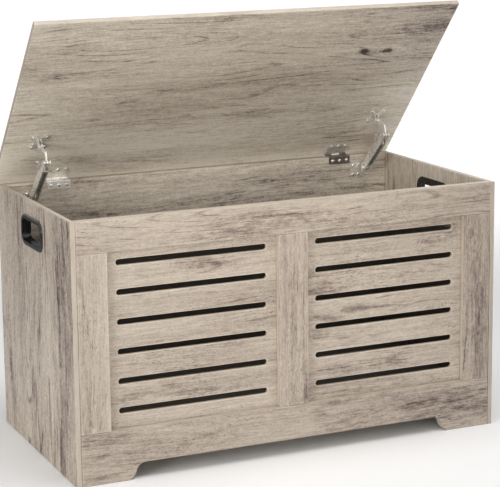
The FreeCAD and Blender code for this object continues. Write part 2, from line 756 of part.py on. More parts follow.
def stay_mid_pin(x):
    half = LINK_STEEL / 2 + 0.35
    inside = CHANNEL_HALF_WIDTH - CHANNEL_STEEL - 0.1
    return shouldered_pin(on_arm(x, arm_length, 0), CHANNEL_HALF_WIDTH, half, inside)


def stay_link(x):
    """Cranked flat link, drawn from the middle pivot to the lid pivot."""
    low = stay_base + stay_offset + X * x
    high = stay_lid_pivot + X * x
    elbow = low + LINK_ELBOW
    x0, x1 = x - LINK_STEEL / 2, x + LINK_STEEL / 2
    half = X * (LINK_STEEL / 2)
    solids = [
        strap(low, elbow, LINK_WIDTH, x0, x1),
        strap(elbow, high, LINK_WIDTH, x0, x1),
        rod(LINK_WIDTH / 2, elbow - half, elbow + half),
        rod(LINK_EYE_RADIUS, low - half, low + half),
        rod(LINK_EYE_RADIUS, high - half, high + half),
    ]
    link = fused(solids)
    bores = [rod(PIVOT_RADIUS + RUNNING_FIT, low - X * 3, low + X * 3)]
    bores.append(rod(PIVOT_RADIUS + OPEN_PIVOT_FIT, high - X * 3, high + X * 3))
    return cut_all(link, bores)


def stay_lid_bracket(x):
    """Four-lobed plate under the lid, with two ears that hold the lid pivot."""
    centre = Vector(x, stay_lid_pivot.y, lid_under)
    solids = [rod(9.0, centre - Z * LEAF, centre)]
    for across in (-12.0, 12.0):
        for along in (-13.0, 13.0):
            lobe = centre + Vector(across, along, 0)
            solids.append(rod(STAY_LOBE, lobe - Z * LEAF, lobe))
            run = Vector(across, along, 0).normalize()
            side = Vector(-run.y, run.x, 0) * STAY_LOBE_NECK
            corners = [centre + side, lobe + side, lobe - side, centre - side]
            solids.append(Part.Face(Part.makePolygon(corners + corners[:1])).extrude(Z * -LEAF))
    for side in (-1, 1):
        x0, x1 = x + side * 1.7, x + side * 3.2
        y = stay_lid_pivot.y
        solids.append(box(x0, x1, y - 5, y + 5, stay_lid_pivot.z, lid_under))
        solids.append(rod(5.0, Vector(x0, y, stay_lid_pivot.z), Vector(x1, y, stay_lid_pivot.z)))
    bracket = fused(solids)
    pivot = stay_lid_pivot + X * x
    bore = rod(PIVOT_RADIUS + HOLE_FIT, pivot - X * 9, pivot + X * 9)
    return cut_all(bracket, [bore] + [screw_hole(spot, -Z) for spot in stay_lid_screws()])


def stay_lid_pin(x):
    return shouldered_pin(stay_lid_pivot + X * x, 3.2, 1, 0)


# ---- the chest ----
def lid_opened(shape):
    return swung(shape, hinge_line, LID_OPEN_DEG)


def arm_opened(shape):
    return swung(shape, stay_base, LID_OPEN_DEG - arm_tilt_deg)


def link_opened(shape):
    """The link keeps its own direction, so it only follows the end of the arm."""
    return moved(shape, FreeCAD.Rotation(-X, LID_OPEN_DEG).multVec(stay_offset) - stay_offset)


for name, side in (("left", -1), ("right", 1)):
    parts[name + "_side_panel"] = side_panel(side)
    parts[name + "_slat_panel"] = slat_panel(side)
    stile = front_member(side * opening_out, side * inner, opening_low, opening_top)
    parts["front_" + name + "_stile"] = stile
    parts[name + "_handle_grip"] = handle_grip(side)
    parts[name + "_handle_ring"] = handle_ring(side)
    parts[name + "_hinge_body_leaf"] = hinge_body_leaf(side)
    parts[name + "_hinge_lid_leaf"] = lid_opened(hinge_lid_leaf(side))
    parts[name + "_hinge_pin"] = hinge_pin(side)
    stay = side * STAY_X
    parts[name + "_stay_base_bracket"] = stay_base_bracket(stay)
    parts[name + "_stay_base_pin"] = stay_base_pin(stay)
    parts[name + "_stay_channel"] = arm_opened(stay_channel(stay))
    parts[name + "_stay_spring"] = arm_opened(stay_spring(stay))
    parts[name + "_stay_rod"] = arm_opened(stay_rod(stay))
    parts[name + "_stay_end_plug"] = arm_opened(stay_end_plug(stay))
    parts[name + "_stay_mid_pin"] = arm_opened(stay_mid_pin(stay))
    parts[name + "_stay_link"] = link_opened(stay_link(stay))
    parts[name + "_stay_lid_bracket"] = lid_opened(stay_lid_bracket(stay))
    parts[name + "_stay_lid_pin"] = lid_opened(stay_lid_pin(stay))

parts["back_panel"] = back_panel()
parts["bottom_panel"] = bottom_panel()
parts["front_top_rail"] = front_member(-inner, inner, opening_top, BODY_HEIGHT)
parts["front_bottom_rail"] = front_member(-inner, inner, 0, opening_low).cut(ogee_gap())
parts["front_centre_stile"] = front_member(-opening_in, opening_in, opening_low, opening_top)
parts["lid_panel"] = lid_opened(lid_panel())
parts["hinge_body_screws"] = Part.makeCompound([screw(s, -Y) for s in hinge_body_screws()])
parts["stay_base_screws"] = Part.makeCompound([screw(s, -Y) for s in stay_base_screws()])
parts["hinge_lid_screws"] = lid_opened(Part.makeCompound([screw(s, -Z) for s in hinge_lid_screws()]))
parts["stay_lid_screws"] = lid_opened(Part.makeCompound([screw(s, -Z) for s in stay_lid_screws()]))
parts["wooden_dowels"] = Part.makeCompound([dowel(*place) for place in dowel_places()])
parts["cam_locks"] = Part.makeCompound([cam_lock(*place) for place in cam_places()])
parts["cam_bolts"] = Part.makeCompound([cam_bolt(*place) for place in cam_places()])

os.makedirs("parts", exist_ok=True)
for name, shape in parts.items():
    shape.exportStep("parts/" + name + ".step")
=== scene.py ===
"""Looks of the wooden toy box: laminate boards, nickel hinges and lid stays, black hand-hole inserts."""

import json
import math

import bpy
from mathutils import Matrix, Vector


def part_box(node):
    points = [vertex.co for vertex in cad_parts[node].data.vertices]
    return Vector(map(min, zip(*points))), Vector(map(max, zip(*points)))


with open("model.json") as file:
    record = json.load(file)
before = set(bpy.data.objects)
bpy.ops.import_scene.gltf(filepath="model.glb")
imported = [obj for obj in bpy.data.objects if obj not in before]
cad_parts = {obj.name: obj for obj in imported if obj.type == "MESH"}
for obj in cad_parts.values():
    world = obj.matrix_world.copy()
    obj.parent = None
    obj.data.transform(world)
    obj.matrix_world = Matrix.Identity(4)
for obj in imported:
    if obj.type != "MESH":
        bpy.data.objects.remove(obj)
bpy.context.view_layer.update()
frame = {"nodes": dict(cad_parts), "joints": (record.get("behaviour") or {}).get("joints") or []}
nodes = frame["nodes"]
scene = bpy.context.scene

MM = 0.001
HINGE = next(j for j in frame["joints"] if j["name"] == "lid_hinge")
LID_OPEN = math.radians(-HINGE["range_deg"][0])

# strengths of the surroundings: the sky that lights, the cards that metal mirrors, the white behind
SKY = 0.38
CARDS = 1.6
BACKDROP = 1.05
FLOOR_HALF = 14
FLOOR_DROP = 0.2 * MM
FLOOR_FADE = (0.9, 2.2)

# azimuth, elevation and roll in degrees; distance is in front of the front face
CAMERA_TURN = (-22.95, 10.42, -0.91)
CAMERA_X = -1.2721
CAMERA_DISTANCE = 2.6051
CAMERA_HEIGHT = 0.9909
CAMERA_SENSOR = 36
CAMERA_LENS = 126.7
CAMERA_SHIFT = (0.1, -0.1)


def linear(r, g, b):
    """A display colour, 0 to 255, as the linear colour that shaders take."""
    def channel(c):
        c /= 255.0
        return c / 12.92 if c <= 0.04045 else ((c + 0.055) / 1.055) ** 2.4
    return (channel(r), channel(g), channel(b), 1.0)


class Graph:
    """One material and short names for the nodes that its tree is made of."""

    def __init__(self, name):
        self.material = bpy.data.materials.new(name)
        self.material.use_nodes = True
        self.tree = self.material.node_tree
        self.tree.nodes.clear()
        self.shader = self.node("ShaderNodeBsdfPrincipled")
        output = self.node("ShaderNodeOutputMaterial")
        self.tree.links.new(self.shader.outputs["BSDF"], output.inputs["Surface"])

    def node(self, kind, inputs=(), **settings):
        made = self.tree.nodes.new(kind)
        for key, value in settings.items():
            setattr(made, key, value)
        for key, value in dict(inputs).items():
            self.put(made.inputs[key], value)
        return made

    def put(self, socket, value):
        if isinstance(value, bpy.types.NodeSocket):
            self.tree.links.new(value, socket)
        else:
            socket.default_value = value

    def math(self, operation, a, b=0.0, c=0.0, clamp=False):
        made = self.node("ShaderNodeMath", {0: a, 1: b, 2: c}, operation=operation, use_clamp=clamp)
        return made.outputs[0]

    def add(self, a, b):
        return self.math("ADD", a, b)

    def times(self, a, b):
        return self.math("MULTIPLY", a, b)

    def larger(self, a, b):
        return self.math("MAXIMUM", a, b)

    def smaller(self, a, b):
        return self.math("MINIMUM", a, b)

    def fade(self, value, start, end, low=0.0, high=1.0):
        """low until value reaches start, high from end on, and smooth in between."""
        made = self.node(
            "ShaderNodeMapRange",
            {"Value": value, "From Min": start, "From Max": end, "To Min": low, "To Max": high},
            interpolation_type="SMOOTHSTEP",
        )
        return made.outputs["Result"]

    def split(self, vector):
        return self.node("ShaderNodeSeparateXYZ", {0: vector}).outputs

    def join(self, x, y, z):
        return self.node("ShaderNodeCombineXYZ", {0: x, 1: y, 2: z}).outputs[0]

    def place(self, vector, location=(0, 0, 0), scale=(1, 1, 1), turn=0.0):
        """vector as seen from a spot at location, turned by turn and with a unit of scale."""
        made = self.node(
            "ShaderNodeMapping",
            {"Vector": vector, "Location": location, "Rotation": (0, 0, turn), "Scale": scale},
            vector_type="TEXTURE",
        )
        return made.outputs[0]

    def stretch(self, vector, scale):
        made = self.node("ShaderNodeVectorMath", {0: vector, 1: scale}, operation="MULTIPLY")
        return made.outputs[0]

    def shift(self, vector, offset):
        made = self.node("ShaderNodeVectorMath", {0: vector, 1: offset}, operation="ADD")
        return made.outputs[0]

    def length(self, vector):
        made = self.node("ShaderNodeVectorMath", {0: vector}, operation="LENGTH")
        return made.outputs["Value"]

    def noise(self, vector, scale, detail=2.0, rough=0.5, warp=0.0):
        made = self.node(
            "ShaderNodeTexNoise",
            {
                "Vector": self.stretch(vector, scale),
                "Scale": 1.0,
                "Detail": detail,
                "Roughness": rough,
                "Distortion": warp,
            },
        )
        return made.outputs["Fac"]

    def cells(self, vector, scale):
        made = self.node("ShaderNodeTexVoronoi", {"Vector": self.stretch(vector, scale), "Scale": 1.0})
        return made

    def ramp(self, value, stops):
        made = self.node("ShaderNodeValToRGB", {0: value})
        elements = made.color_ramp.elements
        elements[0].position, elements[0].color = stops[0]
        elements[1].position, elements[1].color = stops[-1]
        for position, colour in stops[1:-1]:
            elements.new(position).color = colour
        return made.outputs["Color"]

    def blend(self, amount, a, b):
        made = self.node("ShaderNodeMix", data_type="RGBA")
        self.put(made.inputs["Factor"], amount)
        self.put(made.inputs["A"], a)
        self.put(made.inputs["B"], b)
        return made.outputs["Result"]

    def crease(self, reach):
        """A mask for painted shade: 0 on open surfaces, and 1 deep in the corners between pieces."""
        made = self.node("ShaderNodeAmbientOcclusion", {"Distance": reach}, samples=6)
        return self.fade(made.outputs["AO"], 0.20, 0.72, 1.0, 0.0)

    def bump(self, height, distance, strength, normal=None):
        made = self.node(
            "ShaderNodeBump", {"Height": height, "Distance": distance, "Strength": strength}
        )
        if normal:
            self.put(made.inputs["Normal"], normal)
        self.put(self.shader.inputs["Normal"], made.outputs[0])

    def finish(self, colour, roughness, metallic=0.0):
        self.put(self.shader.inputs["Base Color"], colour)
        self.put(self.shader.inputs["Roughness"], roughness)
        self.put(self.shader.inputs["Metallic"], metallic)
        return self.material


# --- laminate boards ---

OAK = [
    (0.00, linear(58, 47, 42)),
    (0.14, linear(98, 84, 78)),
    (0.32, linear(142, 128, 118)),
    (0.50, linear(178, 165, 151)),
    (0.68, linear(200, 188, 173)),
    (0.86, linear(216, 206, 190)),
    (1.00, linear(228, 220, 206)),
]
BAND = [
    (0.0, linear(152, 140, 127)),
    (0.5, linear(188, 176, 161)),
    (1.0, linear(210, 200, 185)),
]
SLOT_PITCH = 50 * MM
SLOT_HALF = 5.25 * MM
# painted shade: the dark colours of the lower inside of the box, the height they start below, and the
# height over which they fade in
PAINTED_DEEP_SHADE = [(0.25, linear(30, 26, 23)), (0.75, linear(60, 52, 46))]
DEEP_SHADE_BELOW = 0.330
DEEP_SHADE_FADE = 28 * MM
# painted shade: the colour, reach and amount of the shade painted into creases and corners between pieces
CREASE_SHADE = linear(46, 39, 35)
CREASE_SHADE_REACH = 3.0 * MM
CREASE_SHADE_AMOUNT = 0.62

# how far each feature darkens or lightens a board, on the scale of the OAK ramp
LINE_DEPTH = 0.26
SMOKE_DEPTH = 0.17
PORE_DEPTH = 0.26
HOLE_DEPTH = 0.34
STROKE_DEPTH = 0.20
# painted highlight along the arris of each face
ARRIS_HIGHLIGHT = 0.07
SEAM_DEPTH = 0.16
# painted highlight around the rims of the slots
SLOT_RIM_HIGHLIGHT = 0.30
RELIEF = 0.35 * MM
# grain direction, direction across the grain, direction through the board
FRONT, UPRIGHT, SIDE, FLAT = ("x", "z", "y"), ("z", "x", "y"), ("z", "y", "x"), ("x", "y", "z")


def board_extent(name, axes, flatten):
    """Lowest and highest corner of a board along its grain, across it and through it."""
    turned = [flatten @ v.co for v in nodes[name].data.vertices]
    picked = [[getattr(v, axis) for v in turned] for axis in axes]
    return [(min(p), max(p)) for p in picked]


def laminate(
    name,
    axes,
    seed,
    marks=(),
    knots=(),
    saws=(),
    tone=0.0,
    painted_light_drift=(0.0, 0.0),
    band=0.0,
    wear=1.0,
    inside=0,
    slots=None,
):
    """Weathered oak laminate. marks and knots are (along, across, half length, half width, strength, turn)
    and saws are (along, across, half length, half width) in metres on the board's face. inside is the way,
    -1 or 1, that the board's inner face looks along its thickness; low down, that face gets painted shade.
    drift is painted light: how much paler the board gets from its middle to its far end, along the grain
    and across it, to make up for how the lamps reach it."""
    g = Graph("laminate_" + name)
    coords = g.node("ShaderNodeTexCoord").outputs
    point, normal = coords["Object"], coords["Normal"]
    flatten = Matrix.Identity(4)
    if name == "lid_panel":
        centre = Vector(HINGE["pos_m"])
        flatten = Matrix.Translation(centre) @ Matrix.Rotation(LID_OPEN, 4, "X")
        flatten = flatten @ Matrix.Translation(-centre)
        point, normal = [
            g.node(
                "ShaderNodeVectorRotate",
                {"Vector": v, "Center": at, "Angle": LID_OPEN},
                rotation_type="X_AXIS",
            ).outputs[0]
            for v, at in ((point, centre), (normal, (0, 0, 0)))
        ]
    (low_u, high_u), (low_v, high_v), _ = board_extent(name, axes, flatten)
    parts = dict(zip("xyz", g.split(point)))
    u, v, w = [parts[a] for a in axes]
    facing = dict(zip("xyz", g.split(normal)))[axes[2]]
    flat = g.join(u, v, 0.0)
    offset = (seed * 1.37, seed * 0.71, seed * 0.29)
    raw = g.shift(g.join(u, v, w), offset)

    # the grain wanders, and runs round each knot
    sway = g.noise(raw, (1.9, 6.5, 4.0), 2.0)
    across = g.add(v, g.times(g.add(sway, -0.5), 0.045))
    knot_dark = 0.0
    for ku, kv, ru, rv, strength, turn in knots:
        reach = g.length(g.place(flat, (ku, kv, 0), (ru, rv, 1), turn))
        pull = g.fade(reach, 0.3, 3.4, 0.75, 0.0)
        across = g.math("SUBTRACT", across, g.times(g.add(v, -kv), pull))
        ragged = g.add(reach, g.times(g.add(g.noise(raw, (60, 260, 60), 3.0, 0.6), -0.5), 1.5))
        core = g.fade(ragged, 0.25, 1.1, strength, 0.0)
        knot_dark = g.larger(knot_dark, core)
    grain = g.shift(g.join(u, across, w), offset)

    # soft clouds, streaks, fibres, mottling and pits, each with its own stretch along the grain
    broad = g.noise(grain, (1.6, 8.0, 6.0), 2.0)
    streaks = g.noise(grain, (3.4, 70.0, 20.0), 5.0, 0.66, 0.25)
    fine = g.noise(grain, (20.0, 330.0, 120.0), 4.0, 0.72)
    mottle = g.noise(grain, (70.0, 150.0, 60.0), 5.0, 0.75)
    pits = g.noise(grain, (210.0, 470.0, 190.0), 3.0, 0.75)
    # tone makes the whole board paler or darker: partly the board's own shade, partly painted light that
    # makes up for how the lamps reach it
    value = 0.53 + tone
    # painted light: the board gets paler towards one end, to make up for how the lamps reach it
    for along, amount, low, high in ((u, painted_light_drift[0], low_u, high_u), (v, painted_light_drift[1], low_v, high_v)):
        if amount:
            value = g.add(value, g.fade(along, low, high, -amount, amount))
    layers = ((broad, 0.50), (streaks, 0.40), (fine, 0.60), (mottle, 0.40), (pits, 0.55))
    for layer, amount in layers:
        value = g.add(value, g.times(g.add(layer, -0.5), amount * wear))

    # contour lines of a slow noise give the arched hairlines of flat-sawn wood
    slow = g.noise(grain, (0.9, 10.0, 6.0), 1.5)
    rings = g.math("PINGPONG", g.times(slow, 44.0), 1.0)
    line = g.fade(rings, 0.02, 0.26, 1.0, 0.0)
    where = g.fade(g.noise(raw, (3.2, 15.0, 9.0), 2.0), 0.42, 0.62)
    broken = g.fade(g.noise(grain, (22.0, 110.0, 40.0), 3.0, 0.6), 0.36, 0.62)
    lines = g.times(g.times(line, where), broken)
    value = g.math("SUBTRACT", value, g.times(lines, LINE_DEPTH * wear))

    # smoky darker areas, left by weather, that break up along the fibres
    smoke = g.fade(g.noise(grain, (3.6, 13.0, 8.0), 5.0, 0.68, 0.3), 0.52, 0.72)
    smoke = g.times(smoke, g.fade(g.add(g.times(fine, 0.5), g.times(mottle, 0.5)), 0.34, 0.62, 1.4, 0.4))
    value = g.math("SUBTRACT", value, g.times(smoke, SMOKE_DEPTH * wear))

    # the marks of this one board
    mark_darkening = 0.0
    for mu, mv, ru, rv, strength, turn in marks:
        reach = g.length(g.place(flat, (mu, mv, 0), (ru, rv, 1), turn))
        mark_darkening = g.add(mark_darkening, g.fade(reach, 0.0, 1.7, strength * 0.55, 0.0))
    ragged = g.fade(g.add(g.times(fine, 0.5), g.times(mottle, 0.5)), 0.36, 0.62, 1.45, 0.35)
    mark_darkening = g.times(mark_darkening, ragged)
    value = g.math("SUBTRACT", value, mark_darkening)

    # pores are short dashes along the grain, in clusters
    cluster = g.fade(g.noise(raw, (5.5, 14.0, 8.0), 2.0), 0.50, 0.64)
    dashes = g.fade(g.cells(grain, (95.0, 420.0, 90.0)).outputs["Distance"], 0.10, 0.34, 1.0, 0.0)
    pores = g.times(dashes, g.add(g.times(cluster, 0.85), 0.10))
    value = g.math("SUBTRACT", value, g.times(pores, PORE_DEPTH))

    # here and there a beetle hole
    holes = g.cells(g.shift(flat, offset), (11.0, 11.0, 1.0))
    chance = g.fade(g.split(holes.outputs["Color"])[0], 0.70, 0.72)
    hole = g.times(g.fade(holes.outputs["Distance"], 0.012, 0.022, 1.0, 0.0), chance)
    value = g.math("SUBTRACT", value, g.times(hole, HOLE_DEPTH))

    # saw strokes lie askew over the grain
    for su, sv, ru, rv in saws:
        area = g.fade(g.length(g.place(flat, (su, sv, 0), (ru, rv, 1))), 0.35, 1.1, 1.0, 0.0)
        askew = g.place(flat, (su, sv, 0), (1, 1, 1), math.radians(58))
        strokes = g.fade(g.noise(askew, (26.0, 210.0, 1.0), 3.0, 0.7, 0.6), 0.54, 0.70)
        value = g.math("SUBTRACT", value, g.times(g.times(strokes, area), STROKE_DEPTH))
    value = g.math("SUBTRACT", value, knot_dark)

    # the face's border: a dark line where it meets the next board, and a painted highlight that makes the
    # arris pale
    rim = g.smaller(
        g.smaller(g.add(u, -low_u), g.math("SUBTRACT", high_u, u)),
        g.smaller(g.add(v, -low_v), g.math("SUBTRACT", high_v, v)),
    )
    wobble = g.noise(raw, (40.0, 40.0, 40.0), 2.0)
    arris_highlight = g.fade(g.add(rim, g.times(wobble, -4 * MM)), -1 * MM, 1.6 * MM, 1.0, 0.0)
    value = g.add(value, g.times(arris_highlight, ARRIS_HIGHLIGHT))
    value = g.math("SUBTRACT", value, g.fade(rim, 0.3 * MM, 1.2 * MM, SEAM_DEPTH, 0.0))

    if slots:
        # painted highlight: the rims of the milled slots are drawn pale, where their edges would catch the
        # light
        middle, half_long, top_slot = slots
        past = g.larger(g.add(g.math("ABSOLUTE", g.add(u, -middle)), -half_long), 0.0)
        off = g.math("WRAP", g.add(v, -top_slot), -SLOT_PITCH / 2, SLOT_PITCH / 2)
        gap = g.add(g.length(g.join(past, off, 0.0)), -SLOT_HALF)
        rim_highlight = g.fade(g.add(gap, g.times(wobble, -1.2 * MM)), -0.2 * MM, 1.1 * MM, SLOT_RIM_HIGHLIGHT, 0.0)
        value = g.add(value, rim_highlight)

    face = g.ramp(value, OAK)
    # band makes the board's edges paler or darker: partly their own colour, partly painted light that
    # makes up for how the lamps reach them
    edging = g.add(0.50 + band, g.times(g.add(fine, -0.5), 0.9))
    edge = g.ramp(g.add(edging, g.times(g.add(broad, -0.5), 0.6)), BAND)
    on_edge = g.fade(g.math("ABSOLUTE", facing), 0.45, 0.60, 1.0, 0.0)
    colour = g.blend(on_edge, face, edge)
    # painted shade: the board darkens in its creases and in the corners between pieces
    crease_shade = g.times(g.crease(CREASE_SHADE_REACH), CREASE_SHADE_AMOUNT)
    colour = g.blend(crease_shade, colour, CREASE_SHADE)
    if inside:
        # painted shade: the lower part of the inner face is drawn dark, as if in deep shade, which keeps
        # the slots dark
        inward = g.fade(g.times(facing, inside), 0.3, 0.5)
        amount = g.times(g.fade(parts["z"], DEEP_SHADE_BELOW, DEEP_SHADE_BELOW + DEEP_SHADE_FADE, 1.0, 0.0), inward)
        colour = g.blend(amount, colour, g.ramp(value, PAINTED_DEEP_SHADE))
    relief = g.math("SUBTRACT", fine, g.add(g.times(pores, 0.7), g.times(lines, 0.5)))
    g.bump(g.math("SUBTRACT", relief, hole), RELIEF, 0.5)
    return g.finish(colour, g.fade(value, 0.1, 0.9, 0.62, 0.44))


# --- hardware ---

def nickel(name, tint, rough, round_edge=0.35 * MM, metallic=0.62):
    """Satin nickel plate with soft edges, faint drawing lines, and painted shade in its creases."""
    g = Graph(name)
    point = g.node("ShaderNodeTexCoord").outputs["Object"]
    cloud = g.noise(point, (90, 90, 90), 3.0, 0.6)
    brushed = g.noise(point, (900, 160, 900), 2.0)
    plate = g.ramp(cloud, [(0.3, linear(*[c * 0.86 for c in tint])), (0.6, linear(*tint))])
    # painted shade: the plate darkens in its creases and in the corners between pieces
    colour = g.blend(g.crease(3.5 * MM), plate, linear(*[c * 0.16 for c in tint]))
    edges = g.node("ShaderNodeBevel", {"Radius": round_edge}, samples=4)
    g.bump(brushed, 0.05 * MM, 0.15, edges.outputs[0])
    return g.finish(colour, g.fade(cloud, 0.3, 0.7, rough + 0.10, rough), metallic)


def plastic(name):
    """Black moulded plastic with a fine spark-eroded surface."""
    g = Graph(name)
    point = g.node("ShaderNodeTexCoord").outputs["Object"]
    grain = g.noise(point, (1400, 1400, 1400), 2.0)
    cloud = g.noise(point, (35, 35, 35), 2.0)
    colour = g.ramp(cloud, [(0.35, linear(10, 10, 11)), (0.65, linear(20, 20, 22))])
    g.bump(grain, 0.06 * MM, 0.25)
    return g.finish(colour, g.fade(cloud, 0.3, 0.7, 0.22, 0.32))


def beech(name):
    """Compressed beech dowel."""
    g = Graph(name)
    point = g.node("ShaderNodeTexCoord").outputs["Object"]
    fleck = g.noise(point, (300, 90, 300), 3.0, 0.6)
    colour = g.ramp(fleck, [(0.35, linear(188, 150, 108)), (0.65, linear(216, 184, 142))])
    g.bump(fleck, 0.1 * MM, 0.3)
    return g.finish(colour, 0.6)


def dress(name, material):
    """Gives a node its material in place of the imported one."""
    data = nodes[name].data
    data.materials.clear()
    data.materials.append(material)


# --- the marks of each board, in metres in the frame of the object ---

BOARDS = {
    "lid_panel": dict(
        axes=FLAT,
        seed=3,
        tone=0.265,
        painted_light_drift=(-0.05, 0.21),
        band=-0.18,
        wear=1.55,
        marks=[
            (0.220, 0.120, 0.150, 0.024, 0.16, 0.05),
            (0.030, -0.070, 0.180, 0.009, 0.12, 0.0),
            (-0.200, 0.010, 0.130, 0.012, 0.14, 0.0),
            (-0.28, 0.143, 0.062, 0.012, 0.42, 0.05),
            (-0.355, 0.140, 0.035, 0.012, 0.30, 0.3),
            (-0.14, 0.056, 0.085, 0.006, 0.30, 0.0),
            (-0.145, 0.160, 0.070, 0.008, 0.30, 0.05),
            (-0.095, 0.138, 0.060, 0.007, 0.30, -0.1),
            (0.345, 0.070, 0.070, 0.016, 0.34, 0.0),
            (0.290, 0.128, 0.090, 0.030, 0.24, 0.3),
            (-0.340, -0.076, 0.055, 0.011, 0.34, 0.0),
            (-0.230, -0.078, 0.090, 0.008, 0.24, 0.05),
            (-0.100, -0.170, 0.120, 0.012, 0.20, 0.0),
            (0.350, -0.205, 0.050, 0.010, 0.28, 0.0),
            (0.365, -0.150, 0.045, 0.012, 0.26, 0.0),
            (0.270, -0.093, 0.085, 0.005, 0.34, 0.0),
            (0.300, -0.077, 0.050, 0.004, 0.26, 0.0),
            (0.000, 0.085, 0.080, 0.012, 0.20, -0.15),
        ],
        knots=[(0.246, -0.098, 0.014, 0.007, 0.50, 0.1), (0.292, -0.096, 0.016, 0.007, 0.50, -0.1)],
        saws=[(-0.02, 0.13, 0.07, 0.05), (-0.30, 0.11, 0.09, 0.05), (-0.37, 0.16, 0.04, 0.03)],
    ),
    "back_panel": dict(
        axes=FRONT,
        seed=7,
        wear=1.8,
        tone=0.25,
        # these marks darken the strip of the back panel just above the front rail's edge
        marks=[
            (-0.02, 0.378, 0.060, 0.012, 0.36, 0.0),
            (0.068, 0.372, 0.050, 0.012, 0.34, 0.0),
            (-0.24, 0.372, 0.110, 0.012, 0.24, 0.0),
        ],
        inside=-1,
    ),
    "bottom_panel": dict(axes=FLAT, seed=11, inside=1),
    "front_top_rail": dict(
        axes=FRONT,
        seed=14,
        painted_light_drift=(-0.03, 0.0),
        wear=0.8,
        tone=-0.01,
        marks=[
            (-0.050, 0.415, 0.110, 0.018, 0.18, 0.0),
            (0.020, 0.412, 0.090, 0.010, 0.18, 0.0),
            (-0.050, 0.425, 0.050, 0.006, 0.16, 0.0),
        ],
    ),
    "front_bottom_rail": dict(
        axes=FRONT,
        seed=17,
        painted_light_drift=(0.05, 0.0),
        tone=-0.03,
        wear=0.85,
        marks=[
            (-0.345, 0.074, 0.036, 0.010, 0.30, 0.0),
            (-0.350, 0.048, 0.014, 0.004, 0.30, 0.2),
            (-0.338, 0.012, 0.026, 0.004, 0.40, 0.1),
            (0.245, 0.058, 0.050, 0.008, 0.24, 0.1),
            (0.360, 0.040, 0.170, 0.060, 0.20, 0.0),
        ],
    ),
    "front_left_stile": dict(
        axes=UPRIGHT,
        seed=21,
        wear=0.85,
        tone=0.03,
        marks=[(0.110, -0.366, 0.035, 0.014, 0.20, 0.0), (0.175, -0.366, 0.040, 0.008, 0.16, 0.0)],
        knots=[(0.104, -0.366, 0.009, 0.006, 0.12, 0.0)],
    ),
    "front_centre_stile": dict(axes=UPRIGHT, seed=25, tone=-0.04, wear=0.8),
    "front_right_stile": dict(
        axes=UPRIGHT,
        seed=28,
        wear=0.9,
        tone=-0.07,
        marks=[(0.200, 0.366, 0.130, 0.014, 0.24, 0.0), (0.350, 0.352, 0.040, 0.014, 0.20, 0.0)],
        knots=[(0.352, 0.350, 0.012, 0.006, 0.22, 0.0)],
    ),
    "left_side_panel": dict(
        axes=SIDE,
        seed=33,
        tone=-0.07,
        band=0.05,
        wear=1.4,
        inside=1,
        marks=[
            (0.115, 0.146, 0.045, 0.008, 0.34, 0.0),
            (0.170, 0.152, 0.070, 0.012, 0.22, 0.0),
            (0.380, 0.077, 0.060, 0.010, 0.20, 0.0),
            (0.190, -0.138, 0.180, 0.006, 0.32, 0.0),
            (0.270, -0.168, 0.120, 0.005, 0.26, 0.0),
            (0.110, 0.012, 0.060, 0.009, 0.26, 0.0),
        ],
        knots=[(0.117, 0.146, 0.016, 0.006, 0.30, 0.0)],
    ),
    "right_side_panel": dict(axes=SIDE, seed=38, wear=1.4, tone=0.17, band=-0.1, inside=-1),
    "left_slat_panel": dict(
        axes=FRONT,
        seed=42,
        wear=0.9,
        slots=(-0.1805, 0.1298, 0.368),
        marks=[
            (-0.150, 0.350, 0.050, 0.010, 0.24, 0.0),
            (-0.180, 0.129, 0.050, 0.010, 0.36, 0.0),
            (-0.300, 0.136, 0.050, 0.012, 0.24, 0.0),
            (-0.106, 0.213, 0.060, 0.009, 0.20, 0.0),
        ],
    ),
    "right_slat_panel": dict(
        axes=FRONT,
        seed=46,
        wear=0.95,
        tone=-0.02,
        slots=(0.1805, 0.1298, 0.368),
        marks=[
            (0.076, 0.288, 0.030, 0.014, 0.32, 0.0),
            (0.275, 0.346, 0.040, 0.014, 0.26, 0.4),
            (0.240, 0.296, 0.080, 0.008, 0.22, 0.05),
            (0.193, 0.143, 0.045, 0.009, 0.30, 0.0),
            (0.105, 0.140, 0.045, 0.012, 0.28, 0.0),
        ],
        knots=[(0.275, 0.226, 0.020, 0.007, 0.14, 0.0)],
        saws=[(0.24, 0.343, 0.10, 0.022), (0.12, 0.33, 0.06, 0.02)],
    ),
}
for board, look in BOARDS.items():
    dress(board, laminate(board, **look))

bright = nickel("nickel_plate", (250, 246, 238), 0.26)
screw_head = nickel("nickel_screws", (246, 242, 234), 0.22)
# painted reflection: a dark copy of the nickel plate, standing in for the dark inside of the box that the
# right hinge's body leaf mirrors
dark_reflection_nickel = nickel("nickel_tarnished", (116, 108, 100), 0.28)
spring_wire = nickel("spring_wire", (150, 146, 140), 0.28, 0.1 * MM)
zinc = nickel("zinc_cast", (168, 168, 166), 0.38)
black = plastic("black_moulding")
peg = beech("beech_peg")
for name in nodes:
    if name in BOARDS:
        continue
    if "handle" in name:
        dress(name, black)
    elif name.endswith("_screws"):
        dress(name, screw_head)
    # painted reflection: this leaf gets the dark copy of the nickel
    elif name == "right_hinge_body_leaf":
        dress(name, dark_reflection_nickel)
    elif "spring" in name:
        dress(name, spring_wire)
    elif name.startswith("cam_"):
        dress(name, zinc)
    elif name == "wooden_dowels":
        dress(name, peg)
    else:
        dress(name, bright)


# --- floor, light and camera ---

